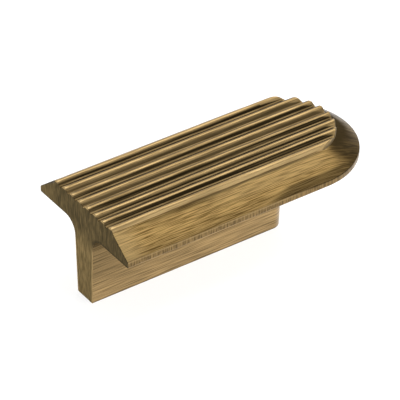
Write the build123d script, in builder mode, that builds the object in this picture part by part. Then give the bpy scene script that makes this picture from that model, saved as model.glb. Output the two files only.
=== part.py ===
from build123d import *
import os
from math import cos, isclose, radians, tan

# Ribbed T-profile pull handle, one brass casting, in millimetres.
# The origin is the middle of the mounting foot. +X points to the half-round end,
# +Y across the plate, and +Z from the foot to the ribbed finger plate.

# Finger plate, with a sloped border down to an upright lip
plate_width = 40.0
end_overhang = 21.5
lip_height = 1.7
border_rise = 4.8
lip_edge_radius = 0.3

# Ribs along the plate, with the grooves between them
rib_count = 8
rib_pitch = 3.5
rib_flank_angle = 45.0
crest_radius = 0.95
groove_radius = 0.38
groove_floor_land = 0.05
outer_rib_shoulder = 1.05
outer_rib_radius = 1.2
rib_end_reach = 0.45
rib_end_edge_radius = 0.3

# Leg that carries the plate
foot_length = 60.0
foot_thickness = 6.65
leg_height = 21.35
leg_draft = 2.3
leg_root_radius = 4.2
foot_edge_radius = 0.15

# Two blind tapped holes in the foot, drilled to the thread's core
hole_spacing = 32.0
thread_core_diameter = 3.3
thread_depth = 12.0
mouth_chamfer = 0.45
mouth_angle = 90.0
drill_point_angle = 118.0

# Places along the handle
flat_end_x = -foot_length / 2
leg_end_x = foot_length / 2
leg_arc_x = leg_end_x - foot_thickness / 2
plate_end_radius = plate_width / 2
plate_arc_x = leg_end_x + end_overhang - plate_end_radius

# Stock left past the flat end until that end is sawn off square
saw_allowance = plate_width
plate_slot_length = plate_arc_x - flat_end_x + saw_allowance
leg_slot_length = leg_arc_x - flat_end_x + saw_allowance
plate_slot_x = plate_arc_x - plate_slot_length / 2
leg_slot_x = leg_arc_x - leg_slot_length / 2

# Rib wave: straight flanks that join round crests to round groove floors without a kink
half_pitch = rib_pitch / 2
flank_slope = radians(rib_flank_angle)
round_sum = crest_radius + groove_radius
groove_depth = half_pitch * tan(flank_slope) - round_sum * (1 / cos(flank_slope) - 1)
flank_length = half_pitch / cos(flank_slope) - round_sum * tan(flank_slope)
cutter_headroom = 1.0

# Band of ribs, and the border that is left around it
groove_count = rib_count - 1
rib_band_width = groove_count * rib_pitch + 2 * outer_rib_shoulder
rib_end_radius = rib_band_width / 2 + rib_end_reach
border_run = (plate_width - rib_band_width) / 2
border_bottom_z = leg_height + lip_height
border_top_z = border_bottom_z + border_rise
crest_z = border_top_z + groove_floor_land + groove_depth

# Tapped holes
thread_core_radius = thread_core_diameter / 2
drill_point_length = thread_core_radius / tan(radians(drill_point_angle / 2))

# Section of one groove, from the top of one crest to the top of the next
with BuildSketch() as groove_section:
    with BuildLine():
        first_crest = JernArc((-half_pitch, crest_z), (1, 0), crest_radius, -rib_flank_angle)
        falling_flank = PolarLine(first_crest @ 1, flank_length, direction=first_crest % 1)
        floor = JernArc(falling_flank @ 1, falling_flank % 1, groove_radius, 2 * rib_flank_angle)
        rising_flank = PolarLine(floor @ 1, flank_length, direction=floor % 1)
        last_crest = JernArc(rising_flank @ 1, rising_flank % 1, crest_radius, -rib_flank_angle)
        Polyline(
            last_crest @ 1,
            (half_pitch, crest_z + cutter_headroom),
            (-half_pitch, crest_z + cutter_headroom),
            first_crest @ 0,
        )
    make_face()

with BuildPart() as handle:
    # Leg with moulding draft on its sides and far end
    with BuildSketch(Plane.XY):
        with Locations((leg_slot_x, 0)):
            SlotCenterToCenter(leg_slot_length, foot_thickness)
    extrude(amount=leg_height, taper=-leg_draft)
    fillet(handle.faces().sort_by(Axis.Z)[0].edges(), radius=foot_edge_radius)

    # Plate with an upright lip and a sloped border that follows its outline
    with BuildSketch(Plane.XY.offset(leg_height)):
        with Locations((plate_slot_x, 0)):
            SlotCenterToCenter(plate_slot_length, plate_width)
    extrude(amount=lip_height + border_rise)
    plate_top = handle.faces().sort_by(Axis.Z)[-1]
    chamfer(plate_top.edges(), length=border_run, length2=border_rise, reference=plate_top)
    underside = handle.faces().filter_by(Plane.XY).sort_by(Axis.Z)[1]
    lip_edges = underside.outer_wire().edges()
    lip_edges += handle.edges().filter_by_position(Axis.Z, border_bottom_z, border_bottom_z)
    fillet(lip_edges, radius=lip_edge_radius)

    # Round root between the leg and the plate
    underside = handle.faces().filter_by(Plane.XY).sort_by(Axis.Z)[1]
    fillet(underside.inner_wires()[0].edges(), radius=leg_root_radius)

    # Raised band for the ribs, its end concentric with the plate's
    with BuildSketch(Plane.XY.offset(border_bottom_z)):
        with Locations((plate_slot_x, 0)):
            SlotCenterToCenter(plate_slot_length, 2 * rib_end_radius)
            Rectangle(plate_slot_length + plate_width, rib_band_width, mode=Mode.INTERSECT)
    extrude(amount=crest_z - border_bottom_z)
    fillet(handle.edges().filter_by(Axis.X).group_by(Axis.Z)[-1], radius=outer_rib_radius)

    # Grooves that divide the band into ribs
    with BuildSketch(Plane.YZ.offset(flat_end_x - saw_allowance)):
        with GridLocations(rib_pitch, 0, groove_count, 1):
            add(groove_section.sketch)
    extrude(amount=saw_allowance + foot_length + end_overhang, mode=Mode.SUBTRACT)

    # Flat end
    split(bisect_by=Plane.YZ.offset(flat_end_x), keep=Keep.TOP)

    # Soft edge across the wavy ends of the ribs
    end_wall = handle.faces().filter_by(GeomType.CYLINDER).filter_by(
        lambda face: isclose(face.radius, rib_end_radius)
    )
    rib_end_edges = end_wall.edges().filter_by_position(Axis.Z, border_top_z, crest_z)
    fillet(rib_end_edges, radius=rib_end_edge_radius)

    # Tapped holes with a countersunk mouth and a drill point, up into the leg from the foot
    with Locations(Plane.XY.rotated((180, 0, 0))):
        with GridLocations(hole_spacing, 0, 2, 1):
            CounterSinkHole(
                thread_core_radius,
                thread_core_radius + mouth_chamfer,
                depth=thread_depth,
                counter_sink_angle=mouth_angle,
            )
    with Locations((0, 0, thread_depth)):
        with GridLocations(hole_spacing, 0, 2, 1):
            Cone(
                thread_core_radius,
                0,
                drill_point_length,
                align=(Align.CENTER, Align.CENTER, Align.MIN),
                mode=Mode.SUBTRACT,
            )

handle.part.label = "pull_handle"

os.makedirs("parts", exist_ok=True)
export_step(handle.part, "parts/pull_handle.step")
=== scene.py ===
"""Looks of a ribbed T-profile pull handle in brushed antique brass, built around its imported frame."""

import logging
from dataclasses import dataclass, field
from enum import Enum
from math import asin, atan2, cos, degrees, hypot, pi, radians, sin, sqrt, tan
from typing import Any, Mapping, NamedTuple, Sequence

import bmesh
import bpy
from mathutils import Matrix, Vector


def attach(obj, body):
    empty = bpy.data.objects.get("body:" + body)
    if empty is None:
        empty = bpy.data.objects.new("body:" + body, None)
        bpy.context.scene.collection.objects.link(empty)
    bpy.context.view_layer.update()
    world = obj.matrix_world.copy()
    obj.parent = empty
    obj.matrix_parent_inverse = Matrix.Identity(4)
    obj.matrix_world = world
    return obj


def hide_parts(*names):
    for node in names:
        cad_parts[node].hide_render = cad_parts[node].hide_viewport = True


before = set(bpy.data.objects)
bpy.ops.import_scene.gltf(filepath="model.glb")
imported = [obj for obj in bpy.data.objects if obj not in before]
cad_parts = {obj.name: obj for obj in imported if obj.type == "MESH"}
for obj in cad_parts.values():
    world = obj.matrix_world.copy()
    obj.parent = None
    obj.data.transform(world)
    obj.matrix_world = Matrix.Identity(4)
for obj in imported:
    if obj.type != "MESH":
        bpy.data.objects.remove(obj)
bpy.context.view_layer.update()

logging.basicConfig(level=logging.INFO, format="%(name)s: %(message)s")
log = logging.getLogger("pull_handle")

MM = 0.001
WELD = 2e-6
TINY = 1e-9
SHARP_ANGLE = radians(35)
FLAT_EDGE_ANGLE = radians(1)
LEVEL_NORMAL = 0.995
NOISE_MIDDLE = 0.5
CAD_NODE = "pull_handle"
BODY = "root"
STROKE_MAP = "brush_strokes"
COLUMN_MARKS = ("along", "turn", "drop", "foot")

Point = tuple[float, float, float]
Flat = tuple[float, float]
Colour = tuple[float, float, float]

FRESHLY_CUT: Colour = (0.62, 0.43, 0.2)


class Zone(Enum):
    """Faces of the handle that were finished in different ways, in material order."""

    RIBS = 0
    BORDER = 1
    LIP = 2
    LEG = 3
    SAWN_END = 4
    FOOT = 5
    BORES = 6


class Mask(NamedTuple):
    """A smooth step along one measure: nothing at one value, and the full share at the other."""

    none: float
    full: float
    share: float = 1.0


class Window(NamedTuple):
    """A stretch of one measure with smooth ends: it rises between two values and falls between two more."""

    rise_from: float
    rise_to: float
    fall_from: float
    fall_to: float
    share: float = 1.0


class Strokes(NamedTuple):
    """A layer of noise drawn out along the brush strokes, in millimetres."""

    length: float
    width: float
    seed: float
    swing: float = 1.0


class Clouds(NamedTuple):
    """A layer of noise in round patches, in millimetres."""

    size: float
    seed: float
    swing: float = 1.0


class Sock:
    """A value socket that takes part in Python arithmetic by adding Math nodes."""

    def __init__(self, graph: "Graph", socket: bpy.types.NodeSocket) -> None:
        """Keeps the socket and the graph it belongs to."""
        self.graph = graph
        self.socket = socket

    def math(self, operation: str, *values: Any) -> "Sock":
        """Adds one Math node.

        Args:
            operation: The Math node's operation.
            values: Its inputs in order, numbers or sockets.

        Returns:
            The node's result.
        """
        node = self.graph.node("ShaderNodeMath", {"operation": operation}, dict(enumerate(values)))
        return Sock(self.graph, node.outputs[0])

    def __add__(self, other: Any) -> "Sock":
        """Sum."""
        return self.math("ADD", self, other)

    def __radd__(self, other: Any) -> "Sock":
        """Reflected sum."""
        return self.math("ADD", other, self)

    def __sub__(self, other: Any) -> "Sock":
        """Difference."""
        return self.math("SUBTRACT", self, other)

    def __rsub__(self, other: Any) -> "Sock":
        """Reflected difference."""
        return self.math("SUBTRACT", other, self)

    def __mul__(self, other: Any) -> "Sock":
        """Product."""
        return self.math("MULTIPLY", self, other)

    def __rmul__(self, other: Any) -> "Sock":
        """Reflected product."""
        return self.math("MULTIPLY", other, self)

    def __truediv__(self, other: Any) -> "Sock":
        """Quotient."""
        return self.math("DIVIDE", self, other)

    def __rtruediv__(self, other: Any) -> "Sock":
        """Reflected quotient."""
        return self.math("DIVIDE", other, self)

    def least(self, other: Any) -> "Sock":
        """The smaller of two values."""
        return self.math("MINIMUM", self, other)

    def most(self, other: Any) -> "Sock":
        """The larger of two values."""
        return self.math("MAXIMUM", self, other)

    def root(self) -> "Sock":
        """Square root."""
        return self.math("SQRT", self)

    def size(self) -> "Sock":
        """Absolute value."""
        return self.math("ABSOLUTE", self)

    def nearest(self) -> "Sock":
        """The nearest whole number."""
        return self.math("ROUND", self)

    def fold(self, length: float) -> "Sock":
        """Runs up to the length and back again, over and over."""
        return self.math("PINGPONG", self, length)

    def mask(self, mask: Mask) -> "Sock":
        """Runs along a smooth step.

        Args:
            mask: Values that give nothing and the full share.

        Returns:
            The share at this value.
        """
        low, high = sorted((mask.none, mask.full))
        first, last = (0.0, mask.share) if mask.none < mask.full else (mask.share, 0.0)
        node = self.graph.node(
            "ShaderNodeMapRange",
            {"interpolation_type": "SMOOTHSTEP"},
            {"Value": self, "From Min": low, "From Max": high, "To Min": first, "To Max": last},
        )
        return Sock(self.graph, node.outputs[0])

    def window(self, window: Window) -> "Sock":
        """The share of a stretch with smooth ends at this value."""
        rising = self.mask(Mask(window.rise_from, window.rise_to, window.share))
        return rising * self.mask(Mask(window.fall_to, window.fall_from))


class Graph:
    """A node tree that is being written, for a material or for geometry."""

    def __init__(self, tree: bpy.types.NodeTree) -> None:
        """Starts from an empty tree."""
        self.tree = tree
        tree.nodes.clear()

    @staticmethod
    def find(sockets: Any, key: Any) -> bpy.types.NodeSocket:
        """Finds a socket by place, identifier or name.

        Args:
            sockets: A node's inputs or outputs.
            key: Place, identifier or name.

        Returns:
            The socket.
        """
        if isinstance(key, int):
            return sockets[key]
        for socket in sockets:
            if socket.identifier == key:
                return socket
        return next(s for s in sockets if s.name == key and s.enabled)

    def node(
        self,
        kind: str,
        settings: Mapping[str, Any] | None = None,
        inputs: Mapping[Any, Any] | None = None,
    ) -> bpy.types.Node:
        """Adds a node.

        Args:
            kind: The node's type.
            settings: Its properties, set first.
            inputs: Values, sockets or lists of sockets for its inputs.

        Returns:
            The new node.
        """
        made = self.tree.nodes.new(kind)
        for name, value in (settings or {}).items():
            setattr(made, name, value)
        for key, value in (inputs or {}).items():
            target = self.find(made.inputs, key)
            for item in value if isinstance(value, list) else [value]:
                if isinstance(item, Sock):
                    self.tree.links.new(item.socket, target)
                else:
                    target.default_value = item
        return made

    def get(self, kind: str, output: Any, settings: Any = None, inputs: Any = None) -> Sock:
        """Adds a node and hands back one of its outputs."""
        made = self.node(kind, settings, inputs)
        return Sock(self, self.find(made.outputs, output))

    def vector(self, x: Any, y: Any, z: Any) -> Sock:
        """Joins three values into a vector."""
        return self.get("ShaderNodeCombineXYZ", 0, None, {0: x, 1: y, 2: z})

    def split(self, vector: Sock) -> list[Sock]:
        """Splits a vector into its three values."""
        made = self.node("ShaderNodeSeparateXYZ", None, {0: vector})
        return [Sock(self, output) for output in made.outputs]

    def noise(self, vector: Sock, detail: float = 2.0, roughness: float = 0.55) -> Sock:
        """Smooth noise from 0 to 1, one lump to a unit of the vector."""
        inputs = {"Vector": vector, "Scale": 1.0, "Detail": detail, "Roughness": roughness}
        return self.get("ShaderNodeTexNoise", 0, None, inputs)

    def mix(self, share: Any, first: Any, second: Any) -> Sock:
        """Blends two colours.

        Args:
            share: How much of the second colour shows.
            first: Colour at share 0.
            second: Colour at share 1.

        Returns:
            The blended colour.
        """
        colours = [c if isinstance(c, Sock) else (*c, 1.0) for c in (first, second)]
        inputs = {"Factor_Float": share, "A_Color": colours[0], "B_Color": colours[1]}
        return self.get("ShaderNodeMix", "Result_Color", {"data_type": "RGBA"}, inputs)


class Place:
    """Where a point of the surface is, in millimetres, as a material reads it."""

    def __init__(self, graph: Graph) -> None:
        """Reads the object coordinates and the map of the brush strokes.

        Args:
            graph: The material's nodes.
        """
        self.graph = graph
        here = graph.get("ShaderNodeTexCoord", "Object")
        self.x, self.y, self.z = (value * (1 / MM) for value in graph.split(here))
        strokes = graph.get("ShaderNodeUVMap", 0, {"uv_map": STROKE_MAP})
        self.along, self.across = (value * (1 / MM) for value in graph.split(strokes)[:2])

    def strokes(self, layer: Strokes, detail: float = 2.0) -> Sock:
        """Noise drawn out along the brush strokes, around 0.5, with octaves of finer strokes."""
        vector = self.graph.vector(self.along / layer.length, self.across / layer.width, layer.seed)
        return self.graph.noise(vector, detail)

    def clouds(self, layer: Clouds) -> Sock:
        """Noise in round patches, around 0.5."""
        x, y, z = (value / layer.size for value in (self.x, self.y, self.z))
        return self.graph.noise(self.graph.vector(x, y, z + layer.seed))

    def waver(self, layer: Strokes | Clouds) -> Sock:
        """A length that strays from 0 by up to half of a layer's swing."""
        noise = self.strokes(layer) if isinstance(layer, Strokes) else self.clouds(layer)
        return (noise - NOISE_MIDDLE) * layer.swing


@dataclass(frozen=True)
class HandleSizes:
    """Driving sizes of the handle in millimetres, and what follows from them."""

    plate_width: float = 40.0
    end_overhang: float = 21.5
    lip_height: float = 1.7
    border_rise: float = 4.8
    lip_edge_radius: float = 0.3
    rib_count: int = 8
    rib_pitch: float = 3.5
    rib_flank_angle: float = 45.0
    crest_radius: float = 0.95
    groove_radius: float = 0.38
    groove_floor_land: float = 0.05
    outer_rib_shoulder: float = 1.05
    outer_rib_radius: float = 1.2
    rib_end_reach: float = 0.45
    rib_end_edge_radius: float = 0.3
    foot_length: float = 60.0
    foot_thickness: float = 6.65
    leg_height: float = 21.35
    leg_draft: float = 2.3
    leg_root_radius: float = 4.2
    foot_edge_radius: float = 0.15
    sawn_edge_radius: float = 0.1
    hole_count: int = 2
    hole_spacing: float = 32.0
    thread_core_radius: float = 1.65
    thread_depth: float = 12.0
    thread_pitch: float = 0.7
    thread_ridge: float = 0.33
    thread_run_out: float = 1.4
    mouth_chamfer: float = 0.45
    drill_point_angle: float = 118.0

    @property
    def flat_end_x(self) -> float:
        """Place of the flat end."""
        return -self.foot_length / 2

    @property
    def start_x(self) -> float:
        """Where the long faces begin, past the soft edge of the flat end."""
        return self.flat_end_x + self.sawn_edge_radius

    @property
    def leg_arc_x(self) -> float:
        """Centre of the leg's round end."""
        return (self.foot_length - self.foot_thickness) / 2

    @property
    def root_centre(self) -> Flat:
        """Centre of the arc in the leg's root.

        Returns:
            Its reach from the leg's middle and its height.
        """
        draft = radians(self.leg_draft)
        z = self.leg_height - self.leg_root_radius
        return self.foot_thickness / 2 + z * tan(draft) + self.leg_root_radius / cos(draft), z

    @property
    def plate_radius(self) -> float:
        """Radius of the plate's half-round end."""
        return self.plate_width / 2

    @property
    def plate_arc_x(self) -> float:
        """Centre of the plate's half-round end."""
        return self.foot_length / 2 + self.end_overhang - self.plate_radius

    @property
    def half_pitch(self) -> float:
        """Half of the distance between two ribs."""
        return self.rib_pitch / 2

    @property
    def groove_depth(self) -> float:
        """Depth of a groove, from straight flanks that join its round floor to round crests.

        Returns:
            How far the floor lies below the crests.
        """
        slope = radians(self.rib_flank_angle)
        rounds = self.crest_radius + self.groove_radius
        return self.half_pitch * tan(slope) - rounds * (1 / cos(slope) - 1)

    @property
    def groove_count(self) -> int:
        """Grooves between the ribs."""
        return self.rib_count - 1

    @property
    def outer_crest_y(self) -> float:
        """Distance of the outermost crests from the plate's middle."""
        return self.groove_count * self.rib_pitch / 2

    @property
    def band_half(self) -> float:
        """Half of the width of the ribbed band."""
        return self.outer_crest_y + self.outer_rib_shoulder

    @property
    def rib_end_radius(self) -> float:
        """Radius of the ribs' end wall."""
        return self.band_half + self.rib_end_reach

    @property
    def border_bottom_z(self) -> float:
        """Height where the sloped border meets the lip."""
        return self.leg_height + self.lip_height

    @property
    def border_top_z(self) -> float:
        """Height where the sloped border meets the ribs."""
        return self.border_bottom_z + self.border_rise

    @property
    def border_fall(self) -> float:
        """How much the border falls for each millimetre outwards."""
        return self.border_rise / (self.plate_radius - self.band_half)

    @property
    def crest_z(self) -> float:
        """Height of the crests."""
        return self.border_top_z + self.groove_floor_land + self.groove_depth

    def border_z(self, reach: float) -> float:
        """Height of the border's slope at a distance from the plate's spine."""
        return self.border_top_z - (reach - self.band_half) * self.border_fall


class Station(NamedTuple):
    """One place along the outline of plate and leg: a straight side or the round end."""

    side: int
    share: float
    angle: float

    def at(self, reach: float, start_x: float, arc_x: float) -> Flat:
        """Place in plan.

        Args:
            reach: Distance from the spine.
            start_x: Where the straight sides begin.
            arc_x: Centre of the round end.

        Returns:
            The x and y of the outline there.
        """
        if self.side:
            return start_x + self.share * (arc_x - start_x), self.side * reach
        return arc_x + reach * cos(self.angle), reach * sin(self.angle)


def arc_points(centre: Flat, radius: float, start: float, end: float, steps: int) -> list[Flat]:
    """Points along an arc of a section, both ends included.

    Args:
        centre: Centre of the arc.
        radius: Its radius.
        start: First angle in degrees.
        end: Last angle in degrees.
        steps: Number of pieces.

    Returns:
        The points in order.
    """
    turns = [radians(start + (end - start) * i / steps) for i in range(steps + 1)]
    return [(centre[0] + radius * cos(t), centre[1] + radius * sin(t)) for t in turns]


def blend(first: Sequence[float], second: Sequence[float], share: float) -> tuple[float, ...]:
    """The point a share of the way from the first to the second."""
    return tuple(a + (b - a) * share for a, b in zip(first, second))


def shares(count: int) -> list[float]:
    """Shares of a way in equal steps, from 0 to 1."""
    return [i / count for i in range(count + 1)]


def add_object(name: str, data: Any) -> bpy.types.Object:
    """Adds an object to the scene.

    Args:
        name: Name of the object.
        data: Its mesh, light or camera.

    Returns:
        The new object.
    """
    made = bpy.data.objects.new(name, data)
    bpy.context.scene.collection.objects.link(made)
    return made


class Tree(Graph):
    """A Geometry Nodes tree with named inputs, run once and turned into a plain mesh."""

    def __init__(
        self,
        name: str,
        inputs: Mapping[str, tuple[str, Any]],
        lengths: Mapping[str, float],
    ) -> None:
        """Makes the tree's interface.

        Args:
            name: Name of the tree.
            inputs: For each named input its socket type and its value.
            lengths: More named inputs, lengths in millimetres.
        """
        super().__init__(bpy.data.node_groups.new(name, "GeometryNodeTree"))
        face = self.tree.interface
        face.new_socket("Geometry", in_out="INPUT", socket_type="NodeSocketGeometry")
        face.new_socket("Geometry", in_out="OUTPUT", socket_type="NodeSocketGeometry")
        self.values: dict[str, Any] = {}
        in_metres = {label: ("NodeSocketFloat", value * MM) for label, value in lengths.items()}
        for label, (kind, value) in {**inputs, **in_metres}.items():
            socket = face.new_socket(label, in_out="INPUT", socket_type=kind)
            self.values[socket.identifier] = value
        self.source = self.node("NodeGroupInput")

    def take(self, label: str) -> Sock:
        """One of the tree's named inputs."""
        return Sock(self, self.find(self.source.outputs, label))

    def repeat(self, shape: Sock, count: Sock, first: Sock, step: Sock) -> Sock:
        """Repeats a shape along a line.

        Args:
            shape: What is repeated.
            count: How often.
            first: Place of the first one.
            step: Way from each one to the next.

        Returns:
            The shapes, still as instances.
        """
        inputs = {"Count": count, "Start Location": first, "Offset": step}
        line = self.get("GeometryNodeMeshLine", 0, None, inputs)
        return self.get("GeometryNodeInstanceOnPoints", 0, None, {"Points": line, "Instance": shape})

    def give(self, geometry: Sock) -> None:
        """Gives the geometry its finish and sends it out of the tree."""
        inputs = {"Geometry": geometry, "Material": self.take("Finish")}
        self.node("NodeGroupOutput", None, {0: self.get("GeometryNodeSetMaterial", 0, None, inputs)})

    def run(self, mesh: bpy.types.Mesh) -> bpy.types.Mesh:
        """Runs the tree on a mesh.

        Args:
            mesh: What the tree starts from.

        Returns:
            The result as a plain mesh, with no modifier left.
        """
        holder = add_object(self.tree.name, mesh)
        modifier = holder.modifiers.new(self.tree.name, "NODES")
        modifier.node_group = self.tree
        for identifier, value in self.values.items():
            modifier[identifier] = value
        bpy.context.view_layer.update()
        shown = holder.evaluated_get(bpy.context.evaluated_depsgraph_get())
        result = bpy.data.meshes.new_from_object(shown)
        holder.modifiers.remove(modifier)
        bpy.data.objects.remove(holder)
        return result


class Column(NamedTuple):
    """One line across the ribs: share of the way to their end, turn over its edge, and the wall's foot."""

    along: float
    turn: float
    drop: float


@dataclass
class RibBand:
    """The wave of ribs and grooves on the plate, trimmed to its half-round end."""

    sizes: HandleSizes
    crest_steps: int = 5
    floor_steps: int = 3
    shoulder_steps: int = 8
    edge_steps: int = 4
    straight_columns: int = 4

    def groove_section(self) -> list[Flat]:
        """Section of one groove around y = 0.

        Returns:
            Points from the top of one crest to the top of the next.
        """
        s = self.sizes
        tilt = s.rib_flank_angle
        crest_centre = (-s.half_pitch, s.crest_z - s.crest_radius)
        floor_centre = (0.0, s.crest_z - s.groove_depth + s.groove_radius)
        left = arc_points(crest_centre, s.crest_radius, 90, 90 - tilt, self.crest_steps)
        left += arc_points(floor_centre, s.groove_radius, 270 - tilt, 270, self.floor_steps)
        return left + [(-y, z) for y, z in reversed(left[:-1])]

    def shoulder_section(self, side: int) -> list[Flat]:
        """Section from the outermost crest down to the border.

        Args:
            side: 1 for the back of the plate, -1 for its front.

        Returns:
            Points from the crest outwards and down.
        """
        s = self.sizes
        crest_y = s.outer_crest_y
        centre = (s.band_half - s.outer_rib_radius, s.crest_z - s.outer_rib_radius)
        start = degrees(atan2(self.shoulder_z(crest_y) - centre[1], crest_y - centre[0]))
        points = arc_points(centre, s.outer_rib_radius, start, 0, self.shoulder_steps)
        points += [(s.band_half, s.border_top_z)]
        return [(side * y, z) for y, z in points]

    def shoulder_z(self, y: float) -> float:
        """Height of the outer ribs' round shoulder, which also trims their crests a little.

        Args:
            y: Distance from the plate's middle.

        Returns:
            The height there.
        """
        s = self.sizes
        over = max(abs(y) - s.band_half + s.outer_rib_radius, 0.0)
        return s.crest_z - s.outer_rib_radius + sqrt(max(s.outer_rib_radius**2 - over**2, 0.0))

    def outline(self) -> list[Flat]:
        """The whole section of the band.

        Returns:
            Points from the foot of its back wall to that of its front wall.
        """
        s = self.sizes
        back = list(reversed(self.shoulder_section(1)))
        groove = list(reversed(self.groove_section()))
        middle = []
        for place in range(s.groove_count):
            shift = (s.groove_count - 1) / 2 * s.rib_pitch - place * s.rib_pitch
            middle += [(y + shift, min(z, self.shoulder_z(y + shift))) for y, z in groove[1:]]
        return back + middle + self.shoulder_section(-1)[1:]

    def columns(self) -> list[Column]:
        """Lines across the band.

        Returns:
            The columns from the flat end over the soft edge and down the end wall.
        """
        s = self.sizes
        outer_end = self.end_x(s.band_half) - self.edge_reach(s.band_half)
        bend = (s.plate_arc_x - s.start_x) / (outer_end - s.start_x)
        along = [bend * i / self.straight_columns for i in range(self.straight_columns + 1)]
        along += [(1 + bend) / 2, 1.0]
        turns = [pi / 2 * (i + 1) / self.edge_steps for i in range(self.edge_steps)]
        found = [Column(share, 0.0, 0.0) for share in along]
        return found + [Column(1.0, turn, 0.0) for turn in turns] + [Column(1.0, pi / 2, 1.0)]

    def end_x(self, y: float) -> float:
        """Where the ribs' end wall is, at a distance from the plate's middle."""
        s = self.sizes
        return s.plate_arc_x + sqrt(s.rib_end_radius**2 - y**2)

    def edge_reach(self, y: float) -> float:
        """Length of the soft edge along X, longer where the wall runs at a slant."""
        s = self.sizes
        return s.rib_end_edge_radius * s.rib_end_radius / sqrt(s.rib_end_radius**2 - y**2)

    def column_x(self, column: Column, y: float) -> float:
        """Place of a column along X.

        Args:
            column: The line across the ribs.
            y: Distance from the plate's middle.

        Returns:
            Its x there.
        """
        reach = self.edge_reach(y)
        straight = self.end_x(y) - reach - self.sizes.start_x
        return self.sizes.start_x + column.along * straight + reach * sin(column.turn)

    def strip(self, name: str, sections: Sequence[Sequence[Flat]]) -> bpy.types.Mesh:
        """A sheet of unit length along X, still without its end.

        Args:
            name: Name of the mesh.
            sections: Sections that the sheet follows, each one a strip of its own.

        Returns:
            The mesh, with the columns' values and the walls' feet as point attributes.
        """
        columns = self.columns()
        width = len(columns)
        points: list[Point] = []
        faces: list[tuple[int, int, int, int]] = []
        marks: dict[str, list[float]] = {mark: [] for mark in COLUMN_MARKS}
        for section in sections:
            first = len(points)
            for y, z in section:
                wall_foot = float(abs(z - self.sizes.border_top_z) < TINY)
                for column in columns:
                    points.append((0.0, y * MM, z * MM))
                    for key, value in zip(marks, (*column, wall_foot)):
                        marks[key].append(value)
            for row in range(len(section) - 1):
                for place in range(width - 1):
                    a = first + row * width + place
                    faces.append((a, a + 1, a + width + 1, a + width))
        mesh = bpy.data.meshes.new(name)
        mesh.from_pydata(points, [], faces)
        for key, values in marks.items():
            mesh.attributes.new(key, "FLOAT", "POINT").data.foreach_set("value", values)
        return mesh

    def build(self, material: bpy.types.Material) -> bpy.types.Mesh:
        """Repeats the groove across the plate and trims the band to the round end.

        Args:
            material: Finish of the ribs.

        Returns:
            The band as a plain mesh.
        """
        s = self.sizes
        groove = bpy.data.objects.new("one_groove", self.strip("one_groove", [self.groove_section()]))
        lengths = {
            "Pitch": s.rib_pitch,
            "Start": s.start_x,
            "Arc centre": s.plate_arc_x,
            "End radius": s.rib_end_radius,
            "Edge radius": s.rib_end_edge_radius,
            "Half width": s.band_half,
            "Shoulder radius": s.outer_rib_radius,
            "Crest height": s.crest_z,
            "Border top": s.border_top_z,
        }
        inputs: dict[str, tuple[str, Any]] = {
            "Groove": ("NodeSocketObject", groove),
            "Groove count": ("NodeSocketInt", s.groove_count),
            "Border fall": ("NodeSocketFloat", s.border_fall),
            "Finish": ("NodeSocketMaterial", material),
        }
        tree = Tree("rib_band", inputs, lengths)

        pitch, count = tree.take("Pitch"), tree.take("Groove count")
        first = tree.vector(0.0, (1 - count) * pitch / 2, 0.0)
        step = tree.vector(0.0, pitch, 0.0)
        shape = tree.get("GeometryNodeObjectInfo", "Geometry", None, {"Object": tree.take("Groove")})
        grooves = tree.repeat(shape, count, first, step)
        joined = tree.get("GeometryNodeJoinGeometry", 0, None, {0: [grooves, tree.take("Geometry")]})
        band = tree.get("GeometryNodeRealizeInstances", 0, None, {0: joined})

        along, turn, drop, foot = (
            tree.get("GeometryNodeInputNamedAttribute", "Attribute", {"data_type": "FLOAT"}, {"Name": name})
            for name in COLUMN_MARKS
        )
        _, y, z = tree.split(tree.get("GeometryNodeInputPosition", 0))
        radius, edge = tree.take("End radius"), tree.take("Edge radius")
        bulge = (radius * radius - y * y).root()
        reach = edge * radius / bulge
        straight = tree.take("Arc centre") + bulge - reach - tree.take("Start")
        x = tree.take("Start") + along * straight + reach * turn.math("SINE", turn)
        shoulder = tree.take("Shoulder radius")
        over = (y.size() - tree.take("Half width") + shoulder).most(0.0)
        rounded = tree.take("Crest height") - shoulder + (shoulder * shoulder - over * over).most(0.0).root()
        rolled = z.least(rounded) - edge * (1.0 - turn.math("COSINE", turn))
        past = (x - tree.take("Arc centre")).most(0.0)
        spread = (past * past + y * y).root() - tree.take("Half width")
        border = tree.take("Border top") - spread.most(0.0) * tree.take("Border fall")
        low = foot.most(drop)
        height = border * low + rolled * (1.0 - low)
        moved = {"Geometry": band, "Position": tree.vector(x, y, height)}
        placed = tree.get("GeometryNodeSetPosition", 0, None, moved)
        merged = tree.get("GeometryNodeMergeByDistance", 0, None, {"Geometry": placed, "Distance": WELD})
        tree.give(merged)

        shoulders = [self.shoulder_section(1), list(reversed(self.shoulder_section(-1)))]
        result = tree.run(self.strip("rib_shoulders", shoulders))
        bpy.data.objects.remove(groove)
        return result


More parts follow.
